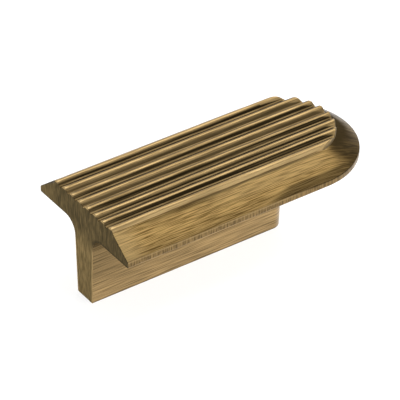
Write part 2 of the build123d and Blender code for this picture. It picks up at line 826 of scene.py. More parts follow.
@dataclass
class ScrewThread:
    """The thread that is cut into both holes of the foot."""

    sizes: HandleSizes
    around: int = 48
    rows_per_turn: int = 10
    flank_gain: float = 1.3
    flank_start: float = 0.15
    fade_turns: float = 0.6

    def build(self, material: bpy.types.Material) -> bpy.types.Mesh:
        """Cuts one helix into a plain bore and repeats it at both holes.

        Args:
            material: Finish of the bores.

        Returns:
            Both threaded walls as a plain mesh, facing into the holes.
        """
        s = self.sizes
        length = s.thread_depth - s.thread_run_out - s.mouth_chamfer
        lengths = {
            "Core radius": s.thread_core_radius,
            "Ridge": s.thread_ridge,
            "Pitch": s.thread_pitch,
            "Length": length,
            "Mouth": s.mouth_chamfer,
            "Spacing": s.hole_spacing,
        }
        inputs: dict[str, tuple[str, Any]] = {
            "Around": ("NodeSocketInt", self.around),
            "Rows": ("NodeSocketInt", round(length / s.thread_pitch * self.rows_per_turn)),
            "Hole count": ("NodeSocketInt", s.hole_count),
            "Finish": ("NodeSocketMaterial", material),
        }
        tree = Tree("screw_thread", inputs, lengths)

        wall_inputs = {
            "Vertices": tree.take("Around"),
            "Side Segments": tree.take("Rows"),
            "Radius": tree.take("Core radius"),
            "Depth": tree.take("Length"),
        }
        wall = tree.get("GeometryNodeMeshCylinder", "Mesh", {"fill_type": "NONE"}, wall_inputs)
        x, y, z = tree.split(tree.get("GeometryNodeInputPosition", 0))
        pitch, half = tree.take("Pitch"), tree.take("Length") / 2
        turn = x.math("ARCTAN2", y, x) / (2 * pi)
        wave = (z / pitch - turn).fold(0.5) * 2.0
        groove = (wave * self.flank_gain - self.flank_start).least(1.0).most(0.0)
        fade = ((half - z.size()) / (pitch * self.fade_turns)).least(1.0).most(0.0)
        grown = 1.0 + groove * fade * tree.take("Ridge") / tree.take("Core radius")
        lifted = z + half + tree.take("Mouth")
        cut = tree.get("GeometryNodeSetPosition", 0, None, {
            "Geometry": wall, "Position": tree.vector(x * grown, y * grown, lifted),
        })
        inward = tree.get("GeometryNodeFlipFaces", 0, None, {"Mesh": cut})
        count, spacing = tree.take("Hole count"), tree.take("Spacing")
        first = tree.vector((1 - count) * spacing / 2, 0.0, 0.0)
        threads = tree.repeat(inward, count, first, tree.vector(spacing, 0.0, 0.0))
        tree.give(tree.get("GeometryNodeRealizeInstances", 0, None, {0: threads}))
        return tree.run(bpy.data.meshes.new("no_thread_yet"))


@dataclass(frozen=True)
class BrassFinish:
    """Antique brass as the brush left it: bright metal, duller streaks, brown patina and worn edges, and in
    places painted shade and painted highlights.

    A hair is one brush stroke, and a band is a bundle of them, measured in hairs. Lengths are in millimetres.
    """

    name: str
    sizes: HandleSizes = HandleSizes()
    metal: Colour = (0.72, 0.47, 0.17)
    streak: Colour = (0.19, 0.115, 0.036)
    # Colours below: brown patina that also paints shade, the dark matte colour of painted shade, and bright
    # wear that also paints highlights.
    patina_and_shade: Colour = (0.035, 0.024, 0.01)
    matte_shade: Colour = (0.02, 0.015, 0.008)
    worn_and_highlight: Colour = (0.66, 0.47, 0.22)
    edge_tint: Colour = (1.0, 1.0, 1.0)
    roughness: float = 0.33
    hair_roughness: float = 0.16
    patina_roughness: float = 0.14
    hair_length: float = 10.0
    hair_width: float = 0.16
    hair_depth: float = 0.003
    hair_seed: float = 1.7
    hair_detail: float = 1.0
    hair_tone: Mask = Mask(0.4, 0.64)
    band_length: float = 1.6
    band_width: float = 4.0
    band_depth: float = 0.5
    band_seed: float = 8.3
    band_tone: Mask = Mask(0.46, 0.7)
    band_share: float = 0.2
    stains: Clouds = Clouds(9.0, 4.0)
    stain_tone: Mask = Mask(0.58, 0.9, 0.35)
    rubs: Clouds = Clouds(4.0, 9.0)
    rub_tone: Mask = Mask(0.68, 0.9, 0.25)

    def patina_and_shade_share(self, place: Place) -> Sock:
        """How much patina is left at a place, from 0 on bare metal to 1."""
        return place.clouds(self.stains).mask(self.stain_tone)

    def wear_and_highlight_share(self, place: Place) -> Sock:
        """How much the surface is rubbed bright at a place, from 0 to 1."""
        return place.clouds(self.rubs).mask(self.rub_tone)

    def matte_shade_share(self, place: Place) -> Sock | None:
        """How much of a place gets a dark matte shader that paints shade; none at all by default."""
        return None

    def make(self) -> bpy.types.Material:
        """Writes the material's nodes.

        Returns:
            The new material.
        """
        material = bpy.data.materials.new(self.name)
        material.use_nodes = True
        graph = Graph(material.node_tree)
        place = Place(graph)
        hair = Strokes(self.hair_length, self.hair_width, self.hair_seed)
        band = Strokes(hair.length * self.band_length, hair.width * self.band_width, self.band_seed)
        hairs, bands = place.strokes(hair, self.hair_detail), place.strokes(band)
        dulled = hairs.mask(self.hair_tone) + bands.mask(self.band_tone) * self.band_share
        # brown patina, and in the subclasses painted shade as well
        patina_and_shade = self.patina_and_shade_share(place)
        brushed = graph.mix(dulled.least(1.0), self.metal, self.streak)
        colour = graph.mix(self.wear_and_highlight_share(place), graph.mix(patina_and_shade, brushed, self.patina_and_shade), self.worn_and_highlight)
        rough = self.roughness + (hairs - NOISE_MIDDLE) * self.hair_roughness + patina_and_shade * self.patina_roughness
        relief = (hairs + bands * self.band_depth) * (self.hair_depth * MM)
        bump = graph.get("ShaderNodeBump", 0, None, {"Strength": 1.0, "Distance": 1.0, "Height": relief})
        shader = graph.get("ShaderNodeBsdfPrincipled", 0, None, {
            "Base Color": colour, "Metallic": 1.0, "Roughness": rough, "Normal": bump,
            "Specular Tint": (*self.edge_tint, 1.0),
        })
        # a dark matte shader mixed in where a subclass paints shade
        matte = self.matte_shade_share(place)
        if matte is not None:
            dull = graph.get("ShaderNodeBsdfDiffuse", 0, None, {"Color": (*self.matte_shade, 1.0)})
            shader = graph.get("ShaderNodeMixShader", 0, None, {0: matte, 1: shader, 2: dull})
        graph.node("ShaderNodeOutputMaterial", None, {"Surface": shader})
        return material


@dataclass(frozen=True)
class RibFinish(BrassFinish):
    """Ribs rubbed bright on their crests and ends, partly wear and partly painted highlight, with dark flanks
    in the grooves, partly patina and partly painted shade.

    Every second groove and the foremost ones are deep: darker, with the painted highlight line further up the
    flanks.
    """

    metal: Colour = (0.515, 0.354, 0.157)
    streak: Colour = (0.27, 0.18, 0.075)
    patina_and_shade: Colour = (0.027, 0.0185, 0.0075)
    ragged: Strokes = Strokes(24.0, 0.8, 5.1, swing=0.36)
    threads: Strokes = Strokes(30.0, 0.24, 3.3)
    thread_tone: Mask = Mask(0.5, 0.72, 0.3)
    deep_front: Mask = Mask(-5.0, -5.4)
    plain_share: float = 0.76
    # edge of the patina and painted shade on the groove flanks
    flank_patina_and_shade: Mask = Mask(1.08, 0.6)
    climb: float = 0.04
    climb_second: float = 0.2
    climb_front: Mask = Mask(2.0, -2.0, 0.1)
    climb_along: Mask = Mask(-10.0, 40.0, 0.1)
    lower_back: Mask = Mask(8.0, 10.0, 0.12)
    lower_end: Mask = Mask(3.5, 0.4, 0.5)
    # a lighter line across the flanks: a painted highlight
    highlight_line_rise: float = 0.14
    highlight_line_rise_deep: float = 0.21
    highlight_line_ragged: float = 0.3
    highlight_line_edge: Mask = Mask(0.05, 0.19)
    highlight_line_dark: float = 0.55
    highlight_line_dark_lost: float = 0.53
    drift_step: float = 3.7
    drift_length: float = 60.0
    drift_seed: float = 2.0
    drift_swing: float = 0.3
    # a thin line of painted shade behind each crest
    shade_behind_crest: Window = Window(-1.75, -1.56, -1.0, -0.2, 0.85)
    shade_behind_front: Mask = Mask(-11.0, -10.5)
    grooved: Mask = Mask(0.0, -0.2)
    flat_end_fade: Mask = Mask(7.0, 0.0, 0.2)
    round_end_fade: Mask = Mask(0.1, 1.0)
    # painted shade in the crease at the foot of the side walls, and on the round end wall
    crease_shade: Mask = Mask(0.3, 0.05, 0.8)
    crease_shade_ragged: float = 0.5
    end_wall_shade: Mask = Mask(0.25, 0.06, 0.85)
    end_wall_shade_foot: Mask = Mask(1.1, 0.6)
    # bright wear and painted highlights at the round end and the crest tips; a painted highlight on the front
    # wall
    rim_wear_and_highlight: Mask = Mask(0.6, 0.15, 0.25)
    tip_chips: Clouds = Clouds(1.2, 3.0)
    tip_wear_and_highlight: Mask = Mask(1.7, 0.0, 0.7)
    tip_crest: Mask = Mask(0.9, 1.3)
    front_wall_highlight: Mask = Mask(-12.4, -13.0)
    front_wall_highlight_foot: Mask = Mask(0.2, 0.6)
    front_wall_highlight_least: float = 0.3
    front_wall_highlight_along: Mask = Mask(-10.0, 20.0, 0.3)
    front_wall_highlight_stop: Mask = Mask(42.0, 32.0)

    def patina_and_shade_share(self, place: Place) -> Sock:
        """Patina and painted shade in the grooves, and painted shade at the foot of the side walls and on the
        wall at the round end.

        Args:
            place: Where the surface is.

        Returns:
            0 on bare metal, 1 under full patina or painted shade.
        """
        s = self.sizes
        ragged, from_end = place.waver(self.ragged), self.from_end(place)
        above_foot = place.z - s.border_top_z
        inside = (place.y.size() - s.outer_crest_y).mask(self.grooved)
        grooves = self.groove_patina_and_shade(place, ragged, from_end) * inside
        grooves = grooves * (1.0 - (place.x - s.flat_end_x).mask(self.flat_end_fade))
        # painted shade in the crease where the side walls meet the border
        crease_shade = (above_foot + ragged * self.crease_shade_ragged).mask(self.crease_shade) * (1.0 - inside)
        # painted shade on the round end wall, darkening its reflection
        end_wall_shade = from_end.mask(self.end_wall_shade) * above_foot.mask(self.end_wall_shade_foot)
        return (grooves.most(crease_shade) * from_end.mask(self.round_end_fade)).most(end_wall_shade)

    def groove_patina_and_shade(self, place: Place, ragged: Sock, from_end: Sock) -> Sock:
        """Patina and painted shade on the flanks and floors of the grooves, broken by a lighter line that is
        a painted highlight, and painted shade in a line behind each crest.

        Args:
            place: Where the surface is.
            ragged: How far the patina's edge strays there.
            from_end: Distance from the round end of the ribs.

        Returns:
            0 on bare metal, 1 under full patina or painted shade.
        """
        pitch, graph = self.sizes.rib_pitch, place.graph
        from_floor = place.y.fold(self.sizes.half_pitch)
        groove = (place.y / pitch).nearest()
        from_middle = place.y - groove * pitch
        second = groove.fold(1.0)
        deep = second.most(place.y.mask(self.deep_front))
        drift = graph.vector(groove * self.drift_step, place.x / self.drift_length, self.drift_seed)
        drift = (graph.noise(drift) - NOISE_MIDDLE) * self.drift_swing
        # a lighter line across the flank patina and shade: a painted highlight
        line = from_floor + ragged * self.highlight_line_ragged + drift - self.highlight_line_rise - deep * self.highlight_line_rise_deep
        line = line.size().mask(self.highlight_line_edge)
        highlight_line_dark = self.highlight_line_dark - deep * self.highlight_line_dark_lost
        climb = self.climb + place.x.mask(self.climb_along)
        climb = climb + second * (self.climb_second + place.y.mask(self.climb_front))
        climb = climb - place.y.mask(self.lower_back) - from_end.mask(self.lower_end)
        flank_patina_and_shade = (from_floor + ragged - climb).mask(self.flank_patina_and_shade) * (highlight_line_dark + (1.0 - highlight_line_dark) * line)
        flank_patina_and_shade = flank_patina_and_shade * (self.plain_share + deep * (1.0 - self.plain_share))
        threads = 1.0 - place.strokes(self.threads).mask(self.thread_tone)
        # painted shade in a thin line behind each crest
        shade_behind = from_middle.window(self.shade_behind_crest) * place.y.mask(self.shade_behind_front)
        return (flank_patina_and_shade * threads).most(shade_behind)

    def wear_and_highlight_share(self, place: Place) -> Sock:
        """Bright wear and painted highlights along the round end of the ribs and on the crests at the flat
        end, and a painted highlight on the front wall.

        Args:
            place: Where the surface is.

        Returns:
            0 where nothing rubs and no highlight is painted, 1 where the metal is bright.
        """
        s = self.sizes
        crest = place.y.fold(s.half_pitch).mask(self.tip_crest)
        tips = (place.x - s.flat_end_x + place.waver(self.tip_chips)).mask(self.tip_wear_and_highlight) * crest
        # a painted highlight on the front wall of the ribs
        wall = place.y.mask(self.front_wall_highlight) * (place.z - s.border_top_z).mask(self.front_wall_highlight_foot)
        along = self.front_wall_highlight_least + place.x.mask(self.front_wall_highlight_along)
        wall = wall * along * place.x.mask(self.front_wall_highlight_stop)
        return self.from_end(place).mask(self.rim_wear_and_highlight).most(tips).most(wall)

    def from_end(self, place: Place) -> Sock:
        """Distance from the round end of the ribs, in millimetres."""
        past = (place.x - self.sizes.plate_arc_x).most(0.0)
        return self.sizes.rib_end_radius - (past * past + place.y * place.y * past.least(1.0)).root()


@dataclass(frozen=True)
class BorderFinish(BrassFinish):
    """The sloped border, brushed along the handle, with painted shade around its round end."""

    metal: Colour = (0.69, 0.448, 0.16)
    streak: Colour = (0.205, 0.124, 0.039)
    matte_shade: Colour = (0.034, 0.023, 0.0095)
    edge_tint: Colour = (0.57, 0.66, 0.79)
    hair_length: float = 6.0
    hair_width: float = 0.115
    band_share: float = 0.05
    patches: Clouds = Clouds(6.0, 2.0, swing=4.0)
    mottle: Strokes = Strokes(5.0, 1.2, 4.4)
    mottle_tone: Mask = Mask(0.4, 0.66, 0.3)
    # painted shade around the round end, lifted at the back and the tip
    round_end_shade: Mask = Mask(35.0, 41.5)
    round_end_shade_least: float = 0.48
    bare_back: Mask = Mask(-2.0, 5.0, 0.75)
    bare_tip: Mask = Mask(44.0, 49.0, 0.6)
    drawn: Strokes = Strokes(16.0, 0.8, 6.4, swing=1.6)
    wedge_growth: float = 0.15
    wedge_width: float = 2.0
    wedge_edge: Mask = Mask(0.7, -0.5, 0.68)
    wedge_along: Window = Window(8.0, 18.0, 35.0, 45.0)
    wedge_front: Mask = Mask(-4.0, -12.0)
    # painted shade in the crease and along the foot of the ribs
    crease_shade: Mask = Mask(0.55, 0.2, 0.85)
    crease_shade_along: Window = Window(-30.0, 0.0, 26.0, 38.0)
    crease_shade_drawn: float = 0.2
    wall_foot_shade: Mask = Mask(2.2, 0.4, 0.52)
    wall_foot_shade_along: Window = Window(-25.0, -18.0, -4.0, 10.0)
    rim: Mask = Mask(3.2, 0.3, 0.22)
    rim_drawn: float = 0.6
    scratches: Strokes = Strokes(6.0, 0.5, 9.2, swing=4.0)
    flat_end_wear: Mask = Mask(-22.0, -29.0, 0.4)
    flat_end_front: Mask = Mask(0.0, -8.0)
    middle_wear: Mask = Mask(2.5, 4.5, 0.2)
    middle_along: Window = Window(-10.0, 8.0, 30.0, 38.0)
    frayed: Strokes = Strokes(3.0, 0.8, 7.7, swing=2.0)
    # matte painted shade at the foot of the round end and in the corner behind the flat end
    foot_matte_shade: Mask = Mask(4.8, 0.4, 0.95)
    foot_past: Mask = Mask(4.0, 8.5)
    foot_back: Mask = Mask(8.5, 1.5)
    foot_wider: Window = Window(-13.0, -8.0, -5.0, 2.0, 2.0)
    corner_patches: Clouds = Clouds(3.0, 6.0, swing=3.0)
    corner_slant: float = 0.7
    corner_matte_shade: Mask = Mask(-28.0, -30.5, 0.9)
    corner_back: Mask = Mask(9.0, 13.0)

    def reach(self, place: Place) -> Sock:
        """Distance from the plate's spine, which stops at the centre of the round end."""
        past = (place.x - self.sizes.plate_arc_x).most(0.0)
        return (past * past + place.y * place.y).root()

    def patina_and_shade_share(self, place: Place) -> Sock:
        """Painted shade towards the round end for a dark reflection there, a darker wedge along the rim
        before it, painted shade at the foot of the ribs, and darker towards the rim.

        Args:
            place: Where the surface is.

        Returns:
            0 on bare metal, 1 under full patina or painted shade.
        """
        s, reach, drawn = self.sizes, self.reach(place), place.waver(self.drawn)
        from_wall, from_rim = reach - s.band_half, s.plate_radius - reach
        mottle = self.round_end_shade_least + place.strokes(self.mottle).mask(self.mottle_tone)
        # painted shade towards the round end, for a dark reflection there
        end = (place.x + place.waver(self.patches)).mask(self.round_end_shade) * mottle
        end = end * (1.0 - place.y.mask(self.bare_back)) * (1.0 - place.x.mask(self.bare_tip))
        width = ((place.x - self.wedge_along.rise_from).most(0.0) * self.wedge_growth).least(self.wedge_width)
        wedge = (from_rim + drawn - width).mask(self.wedge_edge)
        wedge = wedge * place.x.window(self.wedge_along) * place.y.mask(self.wedge_front)
        # painted shade in the crease and along the foot of the ribs
        crease_shade = (from_wall + drawn * self.crease_shade_drawn).mask(self.crease_shade) * place.x.window(self.crease_shade_along)
        wall_foot_shade = (from_wall + drawn).mask(self.wall_foot_shade) * place.x.window(self.wall_foot_shade_along)
        # darker towards the rim
        rim = (from_rim + drawn * self.rim_drawn).mask(self.rim)
        return end.most(wedge).most(crease_shade).most(wall_foot_shade).most(rim)

    def wear_and_highlight_share(self, place: Place) -> Sock:
        """Bright rubbing towards the flat end, at the front, and a little along the middle.

        Args:
            place: Where the surface is.

        Returns:
            0 where nothing rubs, 1 where the metal is bright.
        """
        flat_end = (place.x + place.waver(self.scratches)).mask(self.flat_end_wear)
        from_rim = self.sizes.plate_radius - place.y.size()
        middle = from_rim.mask(self.middle_wear) * place.x.window(self.middle_along)
        return (flat_end * place.y.mask(self.flat_end_front)).most(middle)

    def matte_shade_share(self, place: Place) -> Sock:
        """Painted shade by a dark matte shader at the foot of the ribs' round end, and in the corner behind
        the flat end, for dark reflections there.

        Args:
            place: Where the surface is.

        Returns:
            0 on metal, 1 under the matte painted shade.
        """
        s = self.sizes
        from_wall = self.reach(place) - s.band_half + place.waver(self.frayed)
        # matte painted shade at the foot of the ribs' round end and in the corner behind the flat end
        foot = (from_wall - place.y.window(self.foot_wider)).mask(self.foot_matte_shade)
        foot = foot * (place.x - s.plate_arc_x).mask(self.foot_past) * place.y.mask(self.foot_back)
        slanted = place.x - (place.y - s.band_half) * self.corner_slant + place.waver(self.corner_patches)
        return foot.most(slanted.mask(self.corner_matte_shade) * place.y.mask(self.corner_back))


@dataclass(frozen=True)
class LipFinish(BrassFinish):
    """The upright lip, brushed across, worn bright with a painted highlight along its upper edge, and with
    painted shade at the round end.
    """

    metal: Colour = (0.255, 0.167, 0.068)
    streak: Colour = (0.118, 0.077, 0.032)
    worn_and_highlight: Colour = (0.4, 0.275, 0.125)
    hair_length: float = 2.5
    hair_width: float = 0.3
    band_share: float = 0.1
    round_end_shade: Mask = Mask(42.0, 49.0, 0.5)
    edge: Mask = Mask(-0.4, 0.0, 0.7)
    edge_along: Window = Window(18.0, 28.0, 38.0, 46.0)
    chips: Clouds = Clouds(1.5, 5.0, swing=0.3)
    # bright wear and a painted highlight along the upper edge
    edge_wear_and_highlight: Mask = Mask(-0.45, -0.15, 0.6)
    edge_wear_and_highlight_stop: Mask = Mask(30.0, 16.0)

    def patina_and_shade_share(self, place: Place) -> Sock:
        """Painted shade around the round end, and darker along the upper edge before it."""
        # painted shade at the round end, and darker along the upper edge
        edge = (place.z - self.sizes.border_bottom_z).mask(self.edge) * place.x.window(self.edge_along)
        return edge.most(place.x.mask(self.round_end_shade))

    def wear_and_highlight_share(self, place: Place) -> Sock:
        """Bright wear and a painted highlight on the upper edge."""
        # bright wear and a painted highlight along the upper edge
        from_top = place.z - self.sizes.border_bottom_z + place.waver(self.chips)
        return from_top.mask(self.edge_wear_and_highlight) * place.x.mask(self.edge_wear_and_highlight_stop)


@dataclass(frozen=True)
class LegFinish(BrassFinish):
    """The leg, brushed along the handle, with patina and painted shade in its root and painted shade under
    the plate.
    """

    metal: Colour = (0.49, 0.332, 0.144)
    streak: Colour = (0.2, 0.134, 0.056)
    matte_shade: Colour = (0.085, 0.058, 0.024)
    hair_width: float = 0.17
    ragged: Strokes = Strokes(5.0, 0.6, 3.8, swing=3.0)
    # patina and painted shade in the root, painted shade under the wing, a painted contact shadow at the foot
    root: Mask = Mask(15.5, 20.0)
    root_patina_and_shade_most: float = 0.8
    root_patina_and_shade_lost: float = 0.35
    wing_shade: Mask = Mask(1.0, 14.0, 0.42)
    wing_shade_along: Mask = Mask(14.0, -25.0)
    foot_contact_shade: Mask = Mask(0.7, 0.15, 0.5)
    frayed: Strokes = Strokes(4.0, 0.8, 6.1, swing=2.0)
    # matte painted shade in the root
    root_matte_shade: Mask = Mask(15.5, 19.5)
    matte_shade_most: float = 0.92
    matte_shade_lost: float = 0.72
    underside: Mask = Mask(-0.9, -0.1)

    def patina_and_shade_share(self, place: Place) -> Sock:
        """Patina and painted shade that grow up the round root, painted shade lower down under the wing at
        the flat end, and a painted contact shadow at the foot.

        Args:
            place: Where the surface is.

        Returns:
            0 on bare metal, 1 under full patina or painted shade.
        """
        height = place.z + place.waver(self.ragged)
        # patina and painted shade in the root
        root = height.mask(self.root) * (self.root_patina_and_shade_most - self.root_patina_and_shade_lost * self.under(place))
        # painted shade under the wing
        wing_shade = height.mask(self.wing_shade) * place.x.mask(self.wing_shade_along)
        # a painted contact shadow along the foot
        return root.most(wing_shade).most(place.z.mask(self.foot_contact_shade))

    def matte_shade_share(self, place: Place) -> Sock:
        """Painted shade by a dark matte shader in the root, and a little on the underside."""
        # matte painted shade in the root and a little on the underside
        share = self.matte_shade_most - self.matte_shade_lost * self.under(place)
        return (place.z + place.waver(self.frayed)).mask(self.root_matte_shade) * share

    def under(self, place: Place) -> Sock:
        """1 on the plate's underside, fading out down the round root."""
        return (place.z - self.sizes.leg_height).mask(self.underside)


@dataclass(frozen=True)
class SawnFinish(BrassFinish):
    """The flat end, sawn square and brushed upright: dull on the plate's part, worn bright with painted
    highlights at the leg's edges, and with painted shade along the underside and in the front root.
    """

    metal: Colour = (0.235, 0.169, 0.08)
    streak: Colour = (0.097, 0.071, 0.034)
    patina_and_shade: Colour = (0.03, 0.025, 0.018)
    worn_and_highlight: Colour = (0.56, 0.39, 0.18)
    edge_tint: Colour = (0.65, 0.6, 0.5)
    hair_length: float = 2.6
    patches: Clouds = Clouds(5.0, 7.0, swing=5.0)
    smears: Strokes = Strokes(3.5, 0.45, 2.6)
    smear_tone: Mask = Mask(0.36, 0.64, 0.36)
    dull: Mask = Mask(15.0, 23.0)
    dull_least: float = 0.41
    bare_back: Mask = Mask(11.0, 17.0, 0.4)
    slope_line: Mask = Mask(0.4, 0.1, 0.55)
    slope_front: Mask = Mask(0.0, -0.3)
    # painted shade along the underside's edge, for a dark reflection there
    under_edge_shade: Mask = Mask(0.4, 0.1, 0.8)
    under_edge_shade_out: Mask = Mask(5.0, 8.0)
    under_shade: Mask = Mask(1.8, 0.1, 0.85)
    under_front: Mask = Mask(-5.0, -8.0)
    root_shade: Mask = Mask(2.0, 0.2, 0.85)
    root_up: Mask = Mask(0.5, 2.5)
    root_front: Mask = Mask(0.0, -3.0)
    # bright wear with painted highlights on the leg's edges, and burrs with painted highlights on the crest
    # tips
    edge_wear_and_highlight: Mask = Mask(0.6, 0.05, 0.45)
    edge_wear_and_highlight_top: Mask = Mask(-3.0, -6.0)
    burrs_and_highlights: Mask = Mask(-0.7, -0.25, 0.85)

    def patina_and_shade_share(self, place: Place) -> Sock:
        """Dull smears over the plate's part of the section, a dark line along the slope's edge, and painted
        shade along the underside's edge and in the front root.

        Args:
            place: Where the surface is.

        Returns:
            0 on bare metal, 1 under full patina or painted shade.
        """
        s, out = self.sizes, place.y.size()
        smears = self.dull_least + place.strokes(self.smears).mask(self.smear_tone)
        dull = (place.z + place.waver(self.patches)).mask(self.dull) * smears
        dull = dull * (1.0 - place.y.mask(self.bare_back))
        below_slope = s.border_top_z - (out - s.band_half) * s.border_fall - place.z
        slope_line = below_slope.mask(self.slope_line) * (place.y + s.band_half).mask(self.slope_front)
        above_underside = place.z - s.leg_height
        # painted shade along the underside's edge, for a dark reflection there
        under_edge_shade = above_underside.mask(self.under_edge_shade) * out.mask(self.under_edge_shade_out)
        under_shade = above_underside.mask(self.under_shade) * place.y.mask(self.under_front)
        aside, over = out - s.root_centre[0], place.z - s.root_centre[1]
        from_root = (aside * aside + over * over).root() - s.leg_root_radius
        root_shade = from_root.mask(self.root_shade) * over.mask(self.root_up) * place.y.mask(self.root_front)
        return dull.most(slope_line).most(under_edge_shade).most(under_shade).most(root_shade)

    def wear_and_highlight_share(self, place: Place) -> Sock:
        """Bright wear with painted highlights on the upright edges of the leg, and burrs with painted
        highlights on the tips of the crests.

        Args:
            place: Where the surface is.

        Returns:
            0 where nothing rubs and no highlight is painted, 1 where the metal is bright.
        """
        s = self.sizes
        inside = s.foot_thickness / 2 + place.z * tan(radians(s.leg_draft)) - place.y.size()
        # bright wear with painted highlights on the leg's edges, and burrs with painted highlights on the
        # crest tips
        edges = inside.mask(self.edge_wear_and_highlight) * (place.z - s.leg_height).mask(self.edge_wear_and_highlight_top)
        return edges.most((place.z - s.crest_z).mask(self.burrs_and_highlights))


@dataclass
class HandleBody:
    """The handle's one casting: plate, ribs, lip, leg, foot and tapped holes."""

    sizes: HandleSizes
    ribs: RibBand
    thread: ScrewThread
    finishes: Mapping[Zone, BrassFinish]
    lip_steps: int = 5
    slope_rows: int = 6
    underside_rows: int = 3
    root_steps: int = 10
    foot_steps: int = 3
    edge_steps: int = 3
    least_miter: float = 0.6
    materials: dict[Zone, bpy.types.Material] = field(default_factory=dict)
    mesh: bmesh.types.BMesh = field(default_factory=bmesh.new)

    def stations(self) -> list[Station]:
        """Places along the outline, matched to the columns and rows of the ribs.

        Returns:
            The places from the back of the flat end around to its front.
        """
        s = self.sizes
        columns = self.ribs.columns()
        straight = columns[: self.ribs.straight_columns + 1]
        bend = straight[-1].along
        back = [Station(1, column.along / bend, 0.0) for column in straight]
        corner = columns[self.ribs.straight_columns + 1 : -1]
        turns = [atan2(s.band_half, self.ribs.column_x(c, s.band_half) - s.plate_arc_x) for c in corner]
        turns += [asin(y / s.rib_end_radius) for y, _ in self.ribs.outline() if TINY < y < s.band_half - TINY]
        turns = turns + [0.0] + [-turn for turn in reversed(turns)]
        front = [Station(-1, station.share, 0.0) for station in reversed(back)]
        return back + [Station(0, 0.0, turn) for turn in turns] + front

    def lip_section(self) -> list[Flat]:
        """Section of the lip, with its two soft edges.

        Returns:
            Reach and height from the underside's rim up to the foot of the slope.
        """
        s = self.sizes
        radius = s.lip_edge_radius
        lean = degrees(atan2(1.0, s.border_fall))
        inner = s.plate_radius - radius
        set_back = radius * tan(radians(lean / 2))
        points = arc_points((inner, s.leg_height + radius), radius, -90, 0, self.lip_steps)
        points += arc_points((inner, s.border_bottom_z - set_back), radius, 0, lean, self.lip_steps)
        return points

    def leg_section(self) -> list[Flat]:
        """Section of the leg, with its draft and round root.

        Returns:
            Reach and height from the foot's rim up to the underside.
        """
        s = self.sizes
        draft = radians(s.leg_draft)
        half = s.foot_thickness / 2
        set_back = s.foot_edge_radius * tan(pi / 4 - draft / 2)
        foot_centre = (half - set_back, s.foot_edge_radius)
        points = arc_points(foot_centre, s.foot_edge_radius, -90, -s.leg_draft, self.foot_steps)
        points += arc_points(s.root_centre, s.leg_root_radius, 180 - s.leg_draft, 90, self.root_steps)
        return points

    def sheet(self, rows: Sequence[Sequence[Point]], zone: Zone) -> None:
        """Adds a sheet of four-sided faces.

        Args:
            rows: Rows of points in millimetres, all of one length.
            zone: Which faces these are.
        """
        made = [[self.mesh.verts.new([value * MM for value in point]) for point in row] for row in rows]
        for low, high in zip(made, made[1:]):
            for i in range(len(low) - 1):
                face = self.mesh.faces.new((low[i], low[i + 1], high[i + 1], high[i]))
                face.material_index = zone.value

    def take_in(self, mesh: bpy.types.Mesh, zone: Zone) -> None:
        """Adds the faces of a plain mesh and removes that mesh.

        Args:
            mesh: The mesh to take in.
            zone: Which faces these are.
        """
        known = len(self.mesh.faces)
        self.mesh.from_mesh(mesh)
        self.mesh.faces.ensure_lookup_table()
        for face in self.mesh.faces[known:]:
            face.material_index = zone.value
        bpy.data.meshes.remove(mesh)

    def outline_rows(self) -> None:
        """Adds what follows the outline: leg, root, underside, lip and sloped border."""
        s = self.sizes
        stations = self.stations()

        def row(reach: float, z: float, arc_x: float) -> list[Point]:
            """One line around the handle at a reach and a height."""
            return [(*station.at(reach, s.start_x, arc_x), z) for station in stations]

        leg = [row(reach, z, s.leg_arc_x) for reach, z in self.leg_section()]
        lip = [row(reach, z, s.plate_arc_x) for reach, z in self.lip_section()]
        rows = shares(self.underside_rows)
        under = [[blend(a, b, share) for a, b in zip(leg[-1], lip[0])] for share in rows]
        top = []
        for station in stations:
            slant = abs(sin(station.angle)) if not station.side else 1.0
            reach = min(s.rib_end_radius, s.band_half / max(slant, TINY))
            top.append((*station.at(reach, s.start_x, s.plate_arc_x), s.border_z(reach)))
        rows = shares(self.slope_rows)
        slope = [[blend(a, b, share) for a, b in zip(lip[-1], top)] for share in rows]
        self.sheet(leg + under[1:], Zone.LEG)
        self.sheet(lip, Zone.LIP)
        self.sheet(slope, Zone.BORDER)

    def flat_end(self) -> None:
        """Adds the sawn end, a T section with a slightly soft edge."""
        s = self.sizes
        leg, lip = self.leg_section(), self.lip_section()
        half = leg + [blend(leg[-1], lip[0], share) for share in shares(self.underside_rows)[1:-1]] + lip
        foot = (s.band_half, s.border_top_z)
        half += [blend(lip[-1], foot, share) for share in shares(self.slope_rows)[1:-1]]
        ring = half + self.ribs.outline() + [(-y, z) for y, z in reversed(half)]
        inward = []
        for i, (y, z) in enumerate(ring):
            before, after = ring[i - 1], ring[(i + 1) % len(ring)]
            first = Vector((y - before[0], z - before[1])).normalized()
            second = Vector((after[0] - y, after[1] - z)).normalized()
            middle = (first + second).normalized()
            inward.append(Vector((-middle.y, middle.x)) / max(self.least_miter, middle.dot(first)))
        loops = []
        for step in range(self.edge_steps + 1):
            turn = pi / 2 * step / self.edge_steps
            deep = s.sawn_edge_radius * (1 - cos(turn))
            x = s.start_x - s.sawn_edge_radius * sin(turn)
            loops.append([(x, y + n.x * deep, z + n.y * deep) for (y, z), n in zip(ring, inward)])
        self.sheet([loop + loop[:1] for loop in loops], Zone.SAWN_END)
        face = self.mesh.faces.new([self.mesh.verts.new([v * MM for v in point]) for point in loops[-1]])
        face.material_index = Zone.SAWN_END.value

